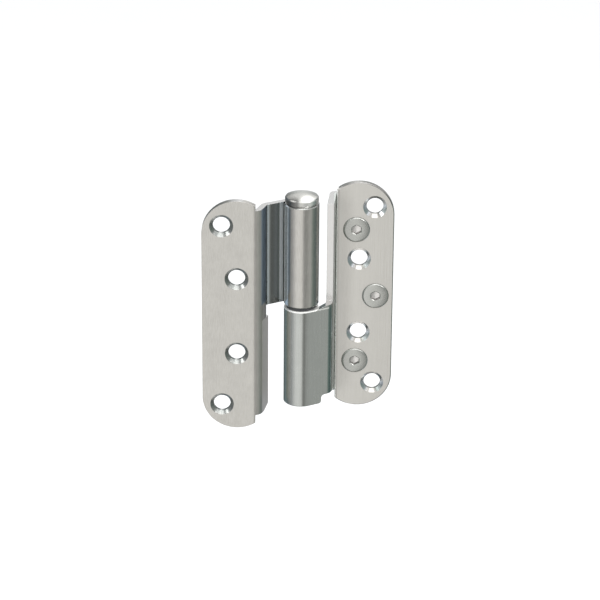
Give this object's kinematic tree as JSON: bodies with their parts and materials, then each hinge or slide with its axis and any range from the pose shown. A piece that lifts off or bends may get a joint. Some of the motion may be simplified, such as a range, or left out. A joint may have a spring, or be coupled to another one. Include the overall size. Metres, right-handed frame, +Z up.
{
  "type": "lift-off door hinge",
  "caption": "Cranked lift-off door hinge: two folded steel leaves with rolled knuckles on a pin, the frame leaf clamped behind a separate screw-on face plate.",
  "frame": {"origin": "on the hinge pin's axis, at the middle of the plates' height, with the hinge opened flat", "axes": "+Z up along the pin, towards the domed cap; +X towards the frame side; -Y is the side the countersinks and screw heads face, +Y the side the plates are screwed against"},
  "size_m": [0.0855, 0.0327, 0.1103],
  "materials": {
    "door_leaf_steel": "zinc plated, fine rolling lines",
    "frame_leaf_steel": "zinc plated",
    "face_plate_steel": "zinc plated",
    "screw_steel": "zinc plated, turned faces",
    "pin_steel": "ground",
    "bush_plastic": "self-lubricating bearing plastic",
    "cap_steel": "zinc plated, turned and polished"
  },
  "bodies": {
    "frame_side": {"frame_leaf": "frame_leaf_steel", "face_plate": "face_plate_steel", "hinge_pin": "pin_steel", "clamp_screw_top": "screw_steel", "clamp_screw_middle": "screw_steel", "clamp_screw_bottom": "screw_steel"},
    "bush": {"bearing_bush": "bush_plastic"},
    "door_side": {"door_leaf": "door_leaf_steel", "end_cap": "cap_steel"}
  },
  "joints": [
    {"name": "lift_off", "type": "slide", "parent": "frame_side", "child": "bush", "axis": [0, 0, 1], "range_m": [0, 0.043]},
    {"name": "swing", "type": "hinge", "parent": "bush", "child": "door_side", "pos_m": [0, 0, 0], "axis": [0, 0, 1], "range_deg": [-120, 180]}
  ]
}
